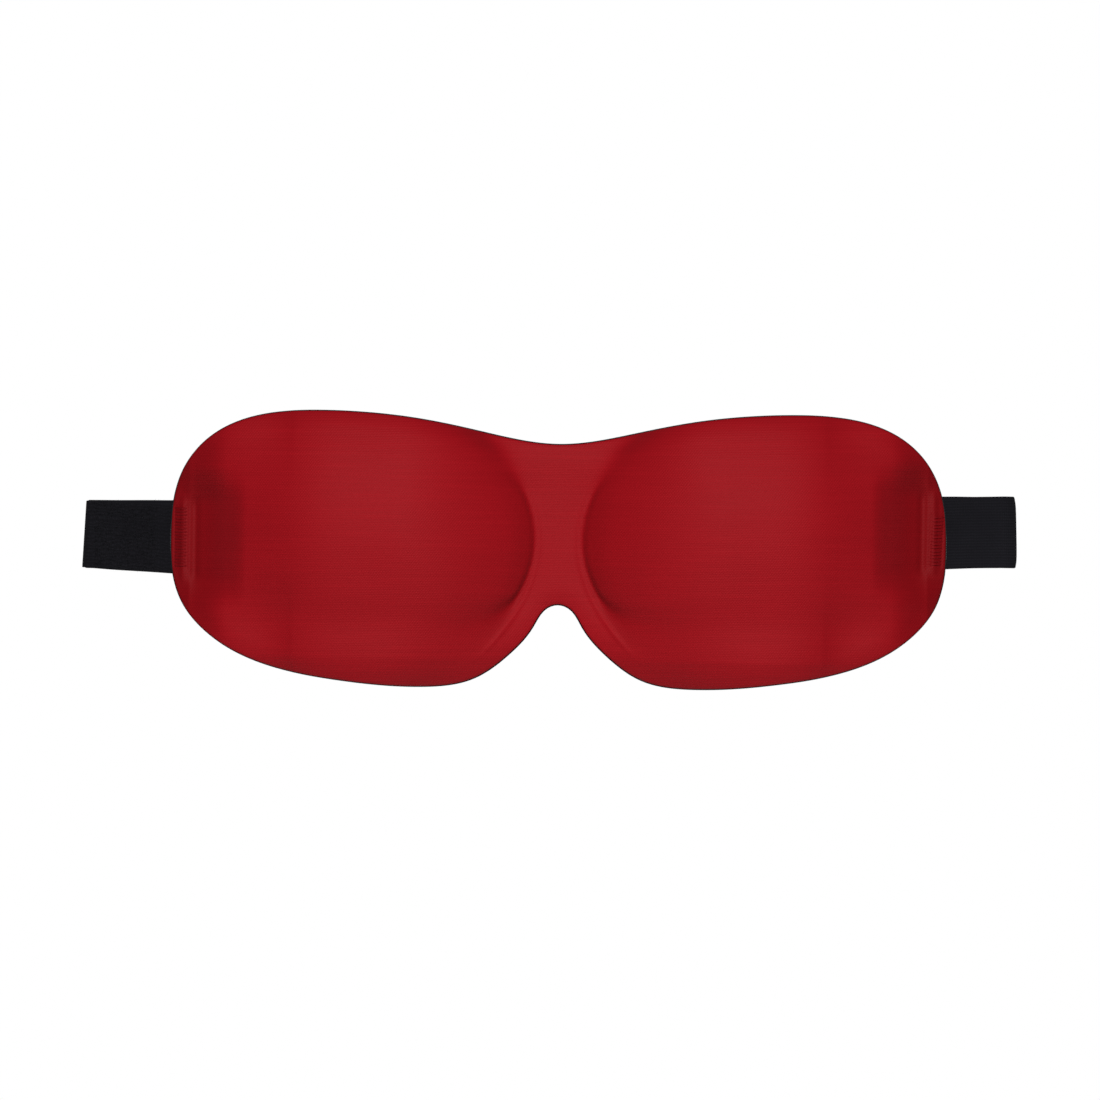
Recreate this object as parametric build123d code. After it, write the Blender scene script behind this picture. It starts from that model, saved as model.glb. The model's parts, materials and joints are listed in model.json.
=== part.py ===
"""Contoured sleep eye mask with two elastic head straps that close with hook and loop.

Millimetres. +X is the wearer's left (the right-hand side seen from the front), the front faces -Y,
+Y points back to the wearer's face and +Z is up. The origin is the middle of the nose bridge on the
skin side of the lining.
"""

from build123d import *
import math
import os

os.makedirs("parts", exist_ok=True)

# Outline of the moulded mask
HALF_WIDTH = 115.4
LOBE_TOP = 40.2
LOBE_BOTTOM = 41.1
BRIDGE_TOP = 31.1
NOTCH_TOP = 16.6
END_HEIGHT = 3.0

# Eye cups
CUP_DEPTH = 22.0
CUP_INNER_EDGE = 7.3
CUP_EDGE_CURVE = 0.0145
CUP_TOP_X = 50.0
CUP_TOP_SHIFT = 14.0
CUP_TOP_Z = 8.0
CUP_REACH_UP = 48.0
CUP_REACH_DOWN = 58.0
CUP_SQUARENESS = 2.5
CUP_POWER = 1.75
CUP_ROUNDING = 0.2
CREASE_SOFTNESS = 0.6
CREASE_FADE = 5.0
WRAP_DROP = 30.0
WRAP_START = 72.0
WRAP_BEND = 5.0
END_FLATTENING = (78.0, 34.0)

# Laminate: face fabric, foam and lining, a little thinner at the cut edge
COVER_THICKNESS = 0.7
LINING_THICKNESS = 0.6
FOAM_THICKNESS = 4.2
FOAM_AT_RIM = 3.0
FOAM_IN_PAD = 1.0
RIM_WIDTH = 6.0

# Pressed pads where the straps are sewn on
PAD_LENGTH = 6.4
PAD_BLEND = 5.0
PAD_HALF_HEIGHT = 15.0
PAD_SET_BACK = 7.0

# Straps
STRAP_WIDTH = 20.3
RIGHT_WEB = 1.4
LEFT_WEB = 1.2
PILE = 0.6
STRAP_RISE = 1.7
LEFT_STRAP_Z = 2.3
RIGHT_STRAP_Z = 5.9
LEFT_FOLD_REACH = 25.5
RIGHT_FOLD_REACH = 20.6
LEFT_BEND_RADIUS = 0.8
LEFT_RUN = 123.0
RIGHT_RUN = 207.0
HINGE_OFFSET = 1.2
HINGE_CLEARANCE = 0.35
BODY_CLEARANCE = 0.3

# Hook patch on the free end of the right strap
PATCH_LENGTH = 50.0
PATCH_WIDTH = 18.0
PATCH_BACKING = 0.5
HOOK_HEIGHT = 0.6
HOOK_ROWS = 12
PATCH_END_MARGIN = 2.0

# Stitching
THREAD = 0.45
TACK_LENGTH = 3.6
TACK_INSET = 1.4
TACK_PITCH = 1.0
LEFT_TACK = (2.3, 18)
RIGHT_TACK = (3.6, 15)
PATCH_STITCH = 3.0
PATCH_STITCH_MARGIN = 1.3

STATIONS = 30
ACROSS = 16
END_MARGIN = 0.3
REACH = 200.0

# Heights below are forward distances, towards -Y. The strap stack hangs on these.
pad_back = PAD_SET_BACK
left_total = LEFT_WEB + PILE
left_axis_y = pad_back + left_total + LEFT_BEND_RADIUS
left_run_front = left_axis_y + LEFT_BEND_RADIUS
left_run_back = left_run_front + left_total
patch_front = left_run_back + BODY_CLEARANCE
right_run_front = patch_front + HOOK_HEIGHT + PATCH_BACKING
right_run_back = right_run_front + RIGHT_WEB
right_axis_y = (pad_back + RIGHT_WEB + right_run_front) / 2
right_bend_radius = right_run_front - right_axis_y
hinge_x = HALF_WIDTH + HINGE_OFFSET
left_axis_x = HALF_WIDTH + LEFT_FOLD_REACH - LEFT_BEND_RADIUS - left_total
right_axis_x = HALF_WIDTH + RIGHT_FOLD_REACH - right_bend_radius - RIGHT_WEB
left_tip_x = -left_axis_x + LEFT_RUN
right_tip_x = right_axis_x - RIGHT_RUN
peel_x = right_tip_x + PATCH_END_MARGIN + PATCH_LENGTH + 2.0


def outline():
    """Closed outline of the mask in the XZ plane: one smooth curve for each half."""
    w, t, b = HALF_WIDTH, LOBE_TOP, LOBE_BOTTOM
    half = [
        (0, BRIDGE_TOP),
        (0.215 * w, 0.870 * t),
        (0.390 * w, 0.958 * t),
        (0.607 * w, t),
        (0.780 * w, 0.955 * t),
        (0.909 * w, 0.774 * t),
        (0.971 * w, 0.545 * t),
        (w, END_HEIGHT),
        (0.971 * w, -0.401 * b),
        (0.894 * w, -0.642 * b),
        (0.737 * w, -0.861 * b),
        (0.563 * w, -0.956 * b),
        (0.345 * w, -b),
        (0.216 * w, -0.942 * b),
        (0.123 * w, -0.762 * b),
        (0.062 * w, -0.562 * b),
        (0.031 * w, -NOTCH_TOP - 1.3),
        (0, -NOTCH_TOP),
    ]
    across = [Vector(1, 0, 0), Vector(-1, 0, 0)]
    right = Spline(*[Vector(x, 0, z) for x, z in half], tangents=across)
    left = mirror(right, about=Plane.YZ)
    return Wire([right.edge(), left.edge()])


edge_wire = outline()
edge_points = [(p.X, p.Z) for p in (edge_wire.position_at(i / 600) for i in range(600))]


def rim_distance(x, z):
    """Distance from a point inside the outline to the cut edge."""
    return min(math.hypot(px - x, pz - z) for px, pz in edge_points)


def cut_heights(x):
    """Lowest and highest point of the outline at one place along X."""
    found = []
    for (x0, z0), (x1, z1) in zip(edge_points, edge_points[1:] + edge_points[:1]):
        if (x0 - x) * (x1 - x) <= 0 and x0 != x1:
            found.append(z0 + (z1 - z0) * (x - x0) / (x1 - x0))
    return min(found), max(found)


def smooth(t):
    t = min(1.0, max(0.0, t))
    return t * t * (3 - 2 * t)


def dome_share(radius):
    """One at the top of a cup, nought on its crease."""
    start = CUP_ROUNDING**CUP_POWER
    full = (1 + CUP_ROUNDING**2) ** (CUP_POWER / 2) - start
    return 1 - ((radius**2 + CUP_ROUNDING**2) ** (CUP_POWER / 2) - start) / full


def wrap_drop(a):
    """How far the sheet has turned back round the head at a distance a from the middle."""
    slope = WRAP_DROP / (HALF_WIDTH - WRAP_START)
    return slope * WRAP_BEND * math.log1p(math.exp((a - WRAP_START) / WRAP_BEND))


def skin_height(x, z):
    """Forward height of the lining's skin side: two domed cups on a sheet wrapped round the head."""
    a = abs(x)
    inner = min(CUP_INNER_EDGE + CUP_EDGE_CURVE * (z - 2) ** 2, CUP_TOP_X - 14)
    top_x = CUP_TOP_X + CUP_TOP_SHIFT * smooth((-z - 12) / 28)
    u = max(0.0, top_x - a) / (top_x - inner)
    v = (z - CUP_TOP_Z) / CUP_REACH_UP if z > CUP_TOP_Z else (CUP_TOP_Z - z) / CUP_REACH_DOWN
    v *= 1 - smooth((a - END_FLATTENING[0]) / END_FLATTENING[1])
    radius = (u**CUP_SQUARENESS + v**CUP_SQUARENESS) ** (1 / CUP_SQUARENESS)
    dome = CUP_DEPTH * dome_share(radius)
    softness = CREASE_SOFTNESS + CREASE_FADE * (smooth((z - 14) / 14) + smooth((-z - 22) / 16))
    dome = (dome + math.hypot(dome, softness)) / 2
    height = dome - wrap_drop(a)
    strap_z = LEFT_STRAP_Z if x < 0 else RIGHT_STRAP_Z
    pad = smooth((a - HALF_WIDTH + PAD_LENGTH + PAD_BLEND) / PAD_BLEND)
    pad *= 1 - smooth((abs(z - strap_z) - PAD_HALF_HEIGHT) / PAD_BLEND)
    return height * (1 - pad) - PAD_SET_BACK * pad


def slope_factor(x, z):
    """How much longer the sheet is along Y than square to itself."""
    step = 0.5
    gx = (skin_height(x + step, z) - skin_height(x - step, z)) / (2 * step)
    gz = (skin_height(x, z + step) - skin_height(x, z - step)) / (2 * step)
    return min(1.6, math.sqrt(1 + gx * gx + gz * gz))


def in_pad(x):
    return smooth((abs(x) - HALF_WIDTH + PAD_LENGTH + PAD_BLEND) / PAD_BLEND)


def foam_thickness(x, z):
    """Foam pressed thin at the cut edge and over the strap pads."""
    q = min(1.0, rim_distance(x, z) / RIM_WIDTH)
    open_foam = FOAM_AT_RIM + (FOAM_THICKNESS - FOAM_AT_RIM) * (1 - (1 - q) ** 2)
    return open_foam + (FOAM_IN_PAD - open_foam) * in_pad(x)


def layer_heights(x, z):
    """Forward heights of the four laminate faces, from the skin side to the front."""
    skin = skin_height(x, z)
    factor = slope_factor(x, z)
    lining = skin + LINING_THICKNESS * factor
    foam = lining + foam_thickness(x, z) * factor
    return skin, lining, foam, foam + COVER_THICKNESS * factor


def make_station(x):
    """The four laminate faces at one place along X, each as points from the lower edge to the upper."""
    low, high = cut_heights(x)
    faces = [[], [], [], []]
    for j in range(ACROSS + 1):
        t = 2 * j / ACROSS - 1
        t = 0.5 * t + 0.5 * math.sin(math.pi / 2 * t)
        z = (low + high) / 2 + (high - low) / 2 * t
        for face, height in zip(faces, layer_heights(x, z)):
            face.append(Vector(x, -height, z))
    return faces


def make_section(lower, upper):
    """Closed section of one layer between two of its laminate faces."""
    edges = [
        Edge.make_spline(lower),
        Edge.make_line(lower[-1], upper[-1]),
        Edge.make_spline(upper[::-1]),
        Edge.make_line(upper[0], lower[0]),
    ]
    return Wire(edges)


def make_laminate():
    """Lining, foam and cover, each lofted through the same stations from end to end."""
    reach = HALF_WIDTH - END_MARGIN
    stations = []
    for i in range(-STATIONS, STATIONS + 1):
        t = i / STATIONS
        stations.append(make_station(reach * (0.45 * t + 0.55 * math.sin(math.pi / 2 * t))))
    layers = {}
    for k, name in enumerate(["inner_lining", "foam_core", "front_cover"]):
        sections = [make_section(faces[k], faces[k + 1]) for faces in stations]
        layers[name] = Solid.make_loft(sections, ruled=True)
    return layers


def tidy_solid(shape):
    """The single largest solid of a boolean's result."""
    solids = shape.solids()
    return max(solids, key=lambda s: s.volume)


def stub_z(side, x_abs):
    """Height of a strap's centre line beyond the mask; both straps rise outwards."""
    start = RIGHT_STRAP_Z if side > 0 else LEFT_STRAP_Z
    return start + math.tan(math.radians(STRAP_RISE)) * (x_abs - HALF_WIDTH)


def run_z(x):
    """Height of the folded-back runs' centre line, one straight line between the two folds."""
    z_left = stub_z(-1, left_axis_x)
    z_right = stub_z(1, right_axis_x)
    return z_left + (z_right - z_left) * (x + left_axis_x) / (left_axis_x + right_axis_x)


def band(x_start, x_end, z_of, width=STRAP_WIDTH):
    """Prism along Y with a band's front view between two places on its centre line."""
    z_start, z_end = z_of(x_start), z_of(x_end)
    corners = [
        (x_start, z_start - width / 2),
        (x_end, z_end - width / 2),
        (x_end, z_end + width / 2),
        (x_start, z_start + width / 2),
    ]
    sketch = Plane.XZ * make_face(Polyline(*corners, close=True))
    return extrude(sketch, amount=REACH, both=True)


def plan_box(x_start, x_end, y_front, y_back):
    """Tall box with the given plan, to be cut to a band's front view."""
    middle = ((x_start + x_end) / 2, (y_front + y_back) / 2)
    size = (abs(x_end - x_start), y_back - y_front)
    return extrude(Pos(*middle, 0) * Rectangle(*size), amount=REACH, both=True)


def knuckle(x, y, radius):
    """Tall cylinder that rounds a band's end about its hinge line."""
    return extrude(Pos(x, y, 0) * Circle(radius), amount=REACH, both=True)


def bend(x, y, inner, outer, side):
    """Tall half ring that opens towards the middle of the mask."""
    ring = Circle(outer) - Circle(inner)
    ring &= Pos(side * outer, 0) * Rectangle(2 * outer, 2 * outer)
    return extrude(Pos(x, y, 0) * ring, amount=REACH, both=True)


def straight(side, x_from, x_to, y_front, y_back, z_of, width=STRAP_WIDTH):
    """Flat length of webbing; x_from and x_to are signed places on the X axis."""
    low, high = min(x_from, x_to), max(x_from, x_to)
    return plan_box(low, high, y_front, y_back) & band(low, high, z_of, width)


def make_stub(side, axis_x, y_front, y_back):
    """Length of strap between the mask's edge and the fold, rounded at the mask end."""
    z_of = lambda x: stub_z(side, abs(x))
    radius = (y_back - y_front) / 2
    start = side * hinge_x
    end = side * axis_x
    outer = start - side * radius
    plan = plan_box(min(start, end), max(start, end), y_front, y_back)
    plan += knuckle(start, (y_front + y_back) / 2, radius)
    return tidy_solid(plan & band(min(outer, end), max(outer, end), z_of))


def make_left_strap(parts):
    z_of = lambda x: stub_z(-1, abs(x))
    web_front = pad_back + PILE
    web_back = web_front + LEFT_WEB
    knuckle_radius = left_total / 2
    sewn_outer = -(hinge_x - knuckle_radius - HINGE_CLEARANCE)
    sewn_inner = -(HALF_WIDTH - PAD_LENGTH)
    parts["strap_left_sewn_end"] = straight(-1, sewn_inner, sewn_outer, web_front, web_back, z_of)
    parts["loop_pile_sewn_end"] = straight(-1, sewn_inner, sewn_outer, pad_back, web_front, z_of)
    stub = make_stub(-1, left_axis_x, pad_back, web_back)
    pile_slab = plan_box(-left_axis_x, -hinge_x + left_total, pad_back, web_front)
    parts["strap_left_stub"] = tidy_solid(stub - pile_slab)
    parts["loop_pile_stub"] = tidy_solid(stub & pile_slab)
    inner = LEFT_BEND_RADIUS
    reach_x = -left_axis_x - inner - left_total
    fold_band = band(reach_x - 1, -left_axis_x, lambda x: stub_z(-1, left_axis_x))
    web = bend(-left_axis_x, left_axis_y, inner, inner + LEFT_WEB, -1)
    pile = bend(-left_axis_x, left_axis_y, inner + LEFT_WEB, inner + left_total, -1)
    parts["strap_left_fold"] = tidy_solid(web & fold_band)
    parts["loop_pile_fold"] = tidy_solid(pile & fold_band)
    run_start = -left_axis_x + BODY_CLEARANCE
    web_back = left_run_front + LEFT_WEB
    parts["strap_left_run"] = straight(-1, run_start, left_tip_x, left_run_front, web_back, run_z)
    parts["loop_pile_run"] = straight(-1, run_start, left_tip_x, web_back, left_run_back, run_z)


def make_right_strap(parts):
    z_of = lambda x: stub_z(1, abs(x))
    web_back = pad_back + RIGHT_WEB
    knuckle_radius = RIGHT_WEB / 2
    sewn_outer = hinge_x - knuckle_radius - HINGE_CLEARANCE
    sewn_inner = HALF_WIDTH - PAD_LENGTH
    parts["strap_right_sewn_end"] = straight(1, sewn_inner, sewn_outer, pad_back, web_back, z_of)
    parts["strap_right_stub"] = make_stub(1, right_axis_x, pad_back, web_back)
    inner = right_bend_radius
    reach_x = right_axis_x + inner + RIGHT_WEB
    fold_band = band(right_axis_x, reach_x + 1, lambda x: stub_z(1, right_axis_x))
    web = bend(right_axis_x, right_axis_y, inner, inner + RIGHT_WEB, 1)
    parts["strap_right_fold"] = tidy_solid(web & fold_band)
    run_start = right_axis_x - BODY_CLEARANCE
    run_end = peel_x + knuckle_radius + HINGE_CLEARANCE
    parts["strap_right_run"] = straight(1, run_end, run_start, right_run_front, right_run_back, run_z)
    plan = plan_box(right_tip_x, peel_x, right_run_front, right_run_back)
    plan += knuckle(peel_x, (right_run_front + right_run_back) / 2, knuckle_radius)
    tip_band = band(right_tip_x, peel_x + knuckle_radius, run_z)
    parts["strap_right_tip"] = tidy_solid(plan & tip_band)


def make_hook_patch():
    """Hook tape: a thin backing with rows of hooks that face the loop pile."""
    start = right_tip_x + PATCH_END_MARGIN
    end = start + PATCH_LENGTH
    backing_front = right_run_front - PATCH_BACKING
    patch = straight(1, start, end, backing_front, right_run_front, run_z, PATCH_WIDTH)
    pitch = PATCH_WIDTH / HOOK_ROWS
    for row in range(HOOK_ROWS):
        shift = -PATCH_WIDTH / 2 + (row + 0.5) * pitch
        row_z = lambda x: run_z(x) + shift
        inset = PATCH_STITCH_MARGIN
        patch += straight(
            1, start + inset, end - inset, patch_front, backing_front, row_z, pitch / 2
        )
    return tidy_solid(patch)


def thread_loop(x_start, x_end, y_front, y_back, z):
    """One closed stitch: a rectangular thread ring round the layers it holds."""
    middle = ((x_start + x_end) / 2, (y_front + y_back) / 2)
    size = (abs(x_end - x_start), y_back - y_front)
    outer = Rectangle(size[0], size[1] + 2 * THREAD)
    inner = Rectangle(size[0] - 2 * THREAD, size[1])
    return extrude(Pos(*middle, z - THREAD / 2) * (outer - inner), amount=THREAD)


def make_bartack(side, centre_z, height, y_back):
    """Bar of stitches through cover, foam, lining and strap."""
    front = pad_back - LINING_THICKNESS - FOAM_IN_PAD - COVER_THICKNESS
    outer = side * (HALF_WIDTH - TACK_INSET)
    inner = side * (HALF_WIDTH - TACK_INSET - TACK_LENGTH)
    count = round(height / TACK_PITCH)
    first = centre_z - (count - 1) * TACK_PITCH / 2
    loops = [
        thread_loop(inner, outer, front, y_back, first + i * TACK_PITCH) for i in range(count)
    ]
    return Compound(children=loops)


def make_patch_stitching():
    """Running stitch along both long edges of the hook patch."""
    start = right_tip_x + PATCH_END_MARGIN + PATCH_STITCH
    count = int((PATCH_LENGTH - PATCH_STITCH) / (1.5 * PATCH_STITCH))
    front = right_run_front - PATCH_BACKING
    loops = []
    for edge in (-1, 1):
        for i in range(count):
            x = start + i * 1.5 * PATCH_STITCH
            z = run_z(x) + edge * (PATCH_WIDTH / 2 - PATCH_STITCH_MARGIN / 2)
            loops.append(thread_loop(x, x + PATCH_STITCH, front, right_run_back, z))
    return Compound(children=loops)


parts = make_laminate()
make_left_strap(parts)
make_right_strap(parts)
parts["hook_patch"] = make_hook_patch()
parts["hook_patch_stitching"] = make_patch_stitching()
parts["bartack_left"] = make_bartack(-1, *LEFT_TACK, pad_back + left_total)
parts["bartack_right"] = make_bartack(1, *RIGHT_TACK, pad_back + RIGHT_WEB)

for name, shape in parts.items():
    export_step(shape, f"parts/{name}.step")

print("hinge x", round(hinge_x, 3), "tab axis y left", round(pad_back + left_total / 2, 3))
print("tab axis y right", round(pad_back + RIGHT_WEB / 2, 3))
print("left fold axis", round(-left_axis_x, 3), round(left_axis_y, 3))
print("right fold axis", round(right_axis_x, 3), round(right_axis_y, 3))
print("peel axis", round(peel_x, 3), round((right_run_front + right_run_back) / 2, 3))
print("run backs", round(left_run_back, 3), round(right_run_back, 3))
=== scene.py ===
import json
import math

import bmesh
import bpy
import numpy as np
from mathutils import Matrix, Vector
from mathutils.kdtree import KDTree


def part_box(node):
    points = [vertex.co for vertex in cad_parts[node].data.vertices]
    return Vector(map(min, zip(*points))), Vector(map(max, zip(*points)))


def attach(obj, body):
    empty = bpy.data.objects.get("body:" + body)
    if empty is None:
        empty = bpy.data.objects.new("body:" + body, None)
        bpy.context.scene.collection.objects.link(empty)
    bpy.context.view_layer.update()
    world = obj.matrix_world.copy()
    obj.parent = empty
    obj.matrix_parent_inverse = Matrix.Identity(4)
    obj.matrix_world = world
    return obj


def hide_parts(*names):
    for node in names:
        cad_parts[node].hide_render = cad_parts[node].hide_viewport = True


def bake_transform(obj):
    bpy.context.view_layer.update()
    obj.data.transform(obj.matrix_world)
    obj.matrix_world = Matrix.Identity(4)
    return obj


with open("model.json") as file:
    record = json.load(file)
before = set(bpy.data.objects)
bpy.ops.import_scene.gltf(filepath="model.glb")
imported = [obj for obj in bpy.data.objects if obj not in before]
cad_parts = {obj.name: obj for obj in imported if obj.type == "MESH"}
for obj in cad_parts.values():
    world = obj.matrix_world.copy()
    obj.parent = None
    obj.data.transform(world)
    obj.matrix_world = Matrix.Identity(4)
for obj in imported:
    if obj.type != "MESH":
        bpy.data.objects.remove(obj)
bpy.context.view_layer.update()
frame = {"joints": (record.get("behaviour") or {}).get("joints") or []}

# Shapes are worked out in millimetres and made in metres. X runs across, Z up, the front faces -Y.
MM = 0.001


def place(node):
    """Lowest and highest corner of a CAD node in millimetres."""
    low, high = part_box(node)
    return np.array(low) / MM, np.array(high) / MM


def hinge(name):
    """A joint's place in millimetres."""
    joint = next(j for j in frame["joints"] if j["name"] == name)
    return np.array(joint["pos_m"]) / MM


# ---------------------------------------------------------------- sizes
foam_low, foam_high = place("foam_core")
sewn_left = place("strap_left_sewn_end")
sewn_right = place("strap_right_sewn_end")
pile_left = place("loop_pile_sewn_end")

# Outline, half of it to each side of the bridge.
HALF_WIDTH = (foam_high[0] - foam_low[0]) / 2 + 0.3
LOBE_TOP = foam_high[2]
LOBE_BOTTOM = -foam_low[2]
BRIDGE_TOP = 31.1
NOTCH_TOP = 16.6
END_HEIGHT = 3.0

# Eye cups: an inner edge that curves away from the bridge, and a dome that fades to its crease.
CUP_DEPTH = 22.0
CUP_INNER_EDGE = 7.3
CUP_EDGE_CURVE = 0.0145
CUP_TOP_X = 50.0
CUP_TOP_SHIFT = 14.0
CUP_TOP_Z = 8.0
CUP_REACH_UP = 48.0
CUP_REACH_DOWN = 58.0
CUP_SQUARENESS = 2.5
CUP_POWER = 1.75
CUP_ROUNDING = 0.2
CREASE_SOFTNESS = 0.4
CREASE_FADE = 5.0
CUP_CREST_GAP = 14.0

# Ends that curve back round the head; the domes' shoulders flatten as they do.
WRAP_DROP = 30.0
WRAP_START = 72.0
WRAP_BEND = 5.0
FLATTENING_START = 78.0
FLATTENING_LENGTH = 34.0

# Laminate: thicknesses, how far each layer's cut edge lies past the outline, and mesh steps.
COVER = 0.7
LINING = 0.6
FOAM = 4.2
FOAM_AT_RIM = 3.0
FOAM_IN_PAD = 0.5
PAD_FOAM_RISE = 0.34
RIM_WIDTH = 6.0
STEEPEST = 1.6
COVER_EDGE = -0.32
FOAM_EDGE = -0.22
LINING_EDGE = 0.06
COVER_STEPS = (200, 140)
INNER_STEPS = (150, 100)
EVEN_SHARE = 0.45

# Pressed pads where the straps are sewn in.
PAD_LENGTH = 6.4
PAD_SET_BACK = pile_left[0][1]
PAD_HALF_HEIGHT = 10.0
PAD_BLEND = 17.0
PAD_FADE = 12.0
PAD_FOAM_BLEND = 11.0
# Painted shade on the face colour: where it starts towards each sewn end, how far it takes to grow,
# and its strength along the foot of each cup wall.
SHADE_START = 97.0
SHADE_RAMP = 12.0
FOOT_SHADE = 0.38

# Straps, by side: -1 is the end at the picture's left, 1 the end at its right.
LEFT_WEB = 1.2
LEFT_PILE = 0.6
RIGHT_WEB = 1.4
SELVEDGE = 0.35
PHASE_SPAN = 6.28
STRAP_Z = {-1: 1.6, 1: 6.0}
STRAP_RISE = {-1: 0.056, 1: 0.030}
STRAP_WIDTH = {-1: 20.3, 1: 21.3}
FOLD_REACH = {-1: 1.16, 1: 1.13}
FOLD_LEAN = {-1: 0.20, 1: 0.075}
FOLD_ROUNDING = {-1: 0.0, 1: 0.13}
SPLIT_X = {-1: 127.0, 1: 125.0}
RIGHT_SPLIT = 20.0
TINY = 1e-6

# Bartacks, by side: middle height, number of bars and lean; the span is from the mask's end inwards.
TACKS = {-1: (2.3, 18, 0.0), 1: (3.6, 15, -0.05)}
TACK_SPAN = (1.4, 5.0)
TACK_THREAD = 0.25
SEWN_THICKNESS = {-1: 1.8, 1: 1.4}

# Hook patch on the right strap's end, and the loose fibres of the loop pile.
HOOK_WIDTH = 18.0
HOOK_BACKING = 0.5
HOOK_PITCH_X = 1.25
HOOK_PITCH_Z = 1.15
HOOK_WIRE = 0.11
STITCH_LENGTH = 2.1
STITCH_GAP = 0.35
STITCH_MARGIN = 1.2
STITCH_THREAD = 0.16
FIBRE_ROOT = 0.52
FIBRE_WIRE = 0.035
TAB_FIBRES = 900
RUN_FIBRES = 4200

# Camera, floor and light; lights stand in metres.
VIEW_WIDTH = 326.0
VIEW_CENTRE = (-2.5, -0.3)
ROLL = math.radians(0.65)
LENS = 200.0
SENSOR = 36.0
FLOOR_DROP = 250.0
FLOOR_RADIUS = 550.0
AMBIENT = 0.02


# ---------------------------------------------------------------- outline of the mask
def spline(points, first, last, count):
    """Smooth curve through points with given end directions, as count points."""
    p = np.array(points, float)
    h = np.linalg.norm(np.diff(p, axis=0), axis=1)
    n = len(p)
    a = np.zeros((n, n))
    b = np.zeros((n, 2))
    a[0, 0], a[-1, -1] = 1, 1
    b[0], b[-1] = first, last
    for i in range(1, n - 1):
        a[i, i - 1], a[i, i], a[i, i + 1] = h[i], 2 * (h[i - 1] + h[i]), h[i - 1]
        left = (p[i] - p[i - 1]) / h[i - 1]
        right = (p[i + 1] - p[i]) / h[i]
        b[i] = 3 * (h[i] * left + h[i - 1] * right)
    slopes = np.linalg.solve(a, b)
    knots = np.concatenate([[0], np.cumsum(h)])
    t = np.linspace(0, knots[-1], count)
    k = np.clip(np.searchsorted(knots, t, side="right") - 1, 0, n - 2)
    s = ((t - knots[k]) / h[k])[:, None]
    hk = h[k][:, None]
    return (
        (2 * s**3 - 3 * s**2 + 1) * p[k]
        + (s**3 - 2 * s**2 + s) * hk * slopes[k]
        + (3 * s**2 - 2 * s**3) * p[k + 1]
        + (s**3 - s**2) * hk * slopes[k + 1]
    )


def half_outline(count=1500):
    """Right half of the cut edge, from the bridge over the top and round to the nose notch."""
    w, t, b = HALF_WIDTH, LOBE_TOP, LOBE_BOTTOM
    points = [
        (0, BRIDGE_TOP),
        (0.215 * w, 0.870 * t),
        (0.390 * w, 0.958 * t),
        (0.607 * w, t),
        (0.780 * w, 0.955 * t),
        (0.909 * w, 0.774 * t),
        (0.971 * w, 0.545 * t),
        (w, END_HEIGHT),
        (0.971 * w, -0.401 * b),
        (0.894 * w, -0.642 * b),
        (0.737 * w, -0.861 * b),
        (0.563 * w, -0.956 * b),
        (0.345 * w, -b),
        (0.216 * w, -0.942 * b),
        (0.123 * w, -0.762 * b),
        (0.062 * w, -0.562 * b),
        (0.031 * w, -NOTCH_TOP - 1.3),
        (0, -NOTCH_TOP),
    ]
    return spline(points, (1, 0), (-1, 0), count)


EDGE = half_outline()
EDGE_TREE = KDTree(2 * len(EDGE))
for index, (ex, ez) in enumerate(EDGE):
    EDGE_TREE.insert((ex, ez, 0), 2 * index)
    EDGE_TREE.insert((-ex, ez, 0), 2 * index + 1)
EDGE_TREE.balance()


def grown_edge(offset):
    """The half outline moved outwards by offset, as its upper and lower branches."""
    d = np.gradient(EDGE, axis=0)
    normal = np.stack([-d[:, 1], d[:, 0]], axis=1)
    normal /= np.linalg.norm(normal, axis=1)[:, None]
    moved = EDGE + offset * normal
    moved[0, 0] = moved[-1, 0] = 0
    turn = int(np.argmax(moved[:, 0]))
    return moved[: turn + 1], moved[turn:][::-1]


def rim_distance(x, z):
    """How far each place lies from the cut edge."""
    flat = [EDGE_TREE.find((a, b, 0))[2] for a, b in zip(x.ravel(), z.ravel())]
    return np.array(flat).reshape(x.shape)


# ---------------------------------------------------------------- form of the mask
def smooth(t):
    """Eased step from nought to one."""
    t = np.clip(t, 0, 1)
    return t * t * (3 - 2 * t)


def ridge(t, middle, width):
    """Soft bell, one high."""
    return np.exp(-(((t - middle) / width) ** 2))


def strap_level(x):
    return np.where(x < 0, STRAP_Z[-1], STRAP_Z[1])


def pad_mask(x, z):
    """One on the pressed pads where the straps are sewn, nought elsewhere."""
    along = smooth((np.abs(x) - HALF_WIDTH + PAD_LENGTH + PAD_BLEND) / PAD_BLEND)
    up = 1 - smooth((np.abs(z - strap_level(x)) - PAD_HALF_HEIGHT) / PAD_FADE)
    return along * up


def painted_shade(x, z, depth):
    """Painted shade, nought to one: darker round the sewn ends and along the foot of each cup wall.
    """
    a = np.abs(x)
    off_strap = smooth((np.abs(z - strap_level(x)) - 10) / 14)
    ends = smooth((a - SHADE_START) / SHADE_RAMP) * (1 - 0.45 * off_strap)
    past_crease = a - cup_inner_edge(z)
    foot = ridge(past_crease, 2.5, 4.0) * (past_crease > -0.5)
    foot = foot * (1 - smooth((z - 8) / 18)) * (1 - smooth((-z - 20) / 14))
    return np.clip(ends + FOOT_SHADE * foot, 0, 1)


def cup_inner_edge(z):
    return np.minimum(CUP_INNER_EDGE + CUP_EDGE_CURVE * (z - 2) ** 2, CUP_TOP_X - CUP_CREST_GAP)


def dome_share(radius):
    """One at the top of a cup, nought on its crease."""
    start = CUP_ROUNDING**CUP_POWER
    full = (1 + CUP_ROUNDING**2) ** (CUP_POWER / 2) - start
    return 1 - ((radius**2 + CUP_ROUNDING**2) ** (CUP_POWER / 2) - start) / full


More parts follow.
